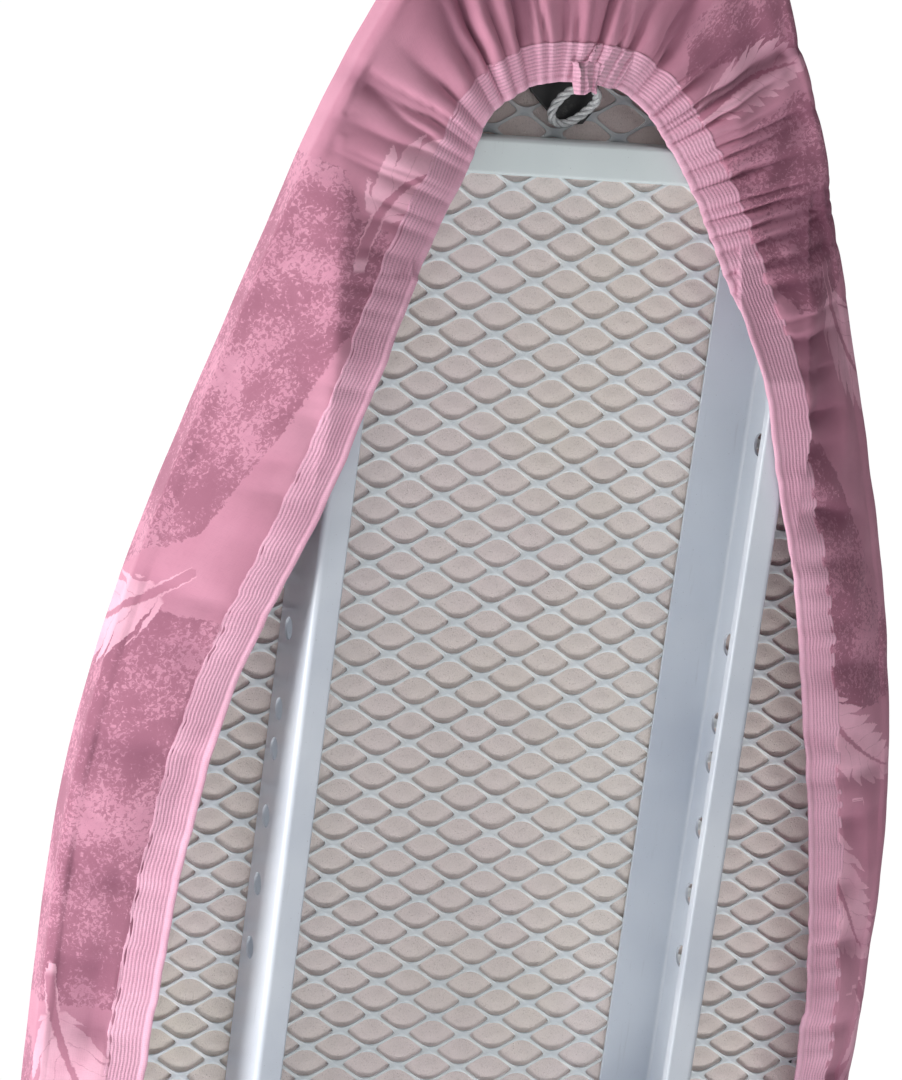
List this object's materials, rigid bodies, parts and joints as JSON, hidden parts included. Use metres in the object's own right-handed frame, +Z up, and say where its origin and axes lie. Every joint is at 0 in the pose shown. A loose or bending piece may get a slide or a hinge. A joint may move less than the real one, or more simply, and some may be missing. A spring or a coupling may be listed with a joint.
{
  "type": "ironing board",
  "caption": "Folding ironing board: expanded-mesh deck with padded elasticated cover, twin perforated channel rails and height-adjustable crossed legs.",
  "frame": {"origin": "on the floor, under the middle of the deck's length and width", "axes": "+X towards the rounded nose, +Y to the left of a person at the tail facing the nose, +Z up"},
  "size_m": [1.1, 0.356, 0.8254],
  "materials": {
    "white_paint": "satin white powder coat, very slightly blue",
    "foot_rubber": "matt grey moulded rubber",
    "grey_nylon": "matt moulded nylon",
    "black_plastic": "matt black moulded plastic",
    "foam": "open-cell foam, greyish pink",
    "cover_fabric": "printed cotton, pink with mottled darker patches",
    "elastic_knit": "ribbed knitted elastic, pink",
    "clear_cord": "braided clear nylon cord",
    "zinc_plate": "bright zinc plate"
  },
  "bodies": {
    "deck": {"cord_tab": "black_plastic", "cover": "cover_fabric", "cover_cord": "clear_cord", "cover_elastic": "elastic_knit", "edge_rim": "white_paint", "foam_pad": "foam", "left_rail": "white_paint", "mesh_top": "white_paint", "nose_crossbar": "white_paint", "right_rail": "white_paint", "tail_crossbar": "white_paint", "tail_pivot_cap_left": "zinc_plate", "tail_pivot_cap_right": "zinc_plate", "tail_pivot_rod": "zinc_plate", "tail_spacer_left": "grey_nylon", "tail_spacer_middle": "grey_nylon", "tail_spacer_right": "grey_nylon"},
    "inner_leg": {"inner_leg_frame": "white_paint", "inner_foot_cap_left": "foot_rubber", "inner_foot_cap_right": "foot_rubber", "cross_pivot_rod": "zinc_plate", "cross_pivot_cap_left": "zinc_plate", "cross_pivot_cap_right": "zinc_plate", "cross_spacer_left": "grey_nylon", "cross_spacer_right": "grey_nylon"},
    "outer_leg": {"outer_leg_frame": "white_paint", "outer_foot_cap_left": "foot_rubber", "outer_foot_cap_right": "foot_rubber"},
    "carriage": {"carriage_tube": "zinc_plate", "slider_shoe_left": "grey_nylon", "slider_shoe_right": "grey_nylon", "carriage_spacer_left": "grey_nylon", "carriage_spacer_right": "grey_nylon", "lock_spring": "zinc_plate"},
    "lock_pin_left": {"lock_pin_left": "zinc_plate"},
    "lock_pin_right": {"lock_pin_right": "zinc_plate"}
  },
  "joints": [
    {"name": "leg_fold", "type": "hinge", "parent": "deck", "child": "inner_leg", "pos_m": [-0.39, 0, 0.80612], "axis": [0, 1, 0], "range_deg": [-51.67, 2.53]},
    {"name": "leg_scissor", "type": "hinge", "parent": "inner_leg", "child": "outer_leg", "pos_m": [-0.17999, 0, 0.50429], "axis": [0, 1, 0], "range_deg": [-5.1, 103.4]},
    {"name": "carriage_pivot", "type": "hinge", "parent": "outer_leg", "child": "carriage", "pos_m": [0.03, 0, 0.80612], "axis": [0, 1, 0], "range_deg": [-51.7, 2.55]},
    {"name": "lock_pin_left_slide", "type": "slide", "parent": "carriage", "child": "lock_pin_left", "axis": [0, 1, 0], "range_m": [0, 0.006]},
    {"name": "lock_pin_right_slide", "type": "slide", "parent": "carriage", "child": "lock_pin_right", "axis": [0, -1, 0], "range_m": [0, 0.006]}
  ],
  "couplings": [
    {"joint": "leg_scissor", "follows": "leg_fold", "ratio": -2},
    {"joint": "carriage_pivot", "follows": "leg_fold", "ratio": 1}
  ]
}
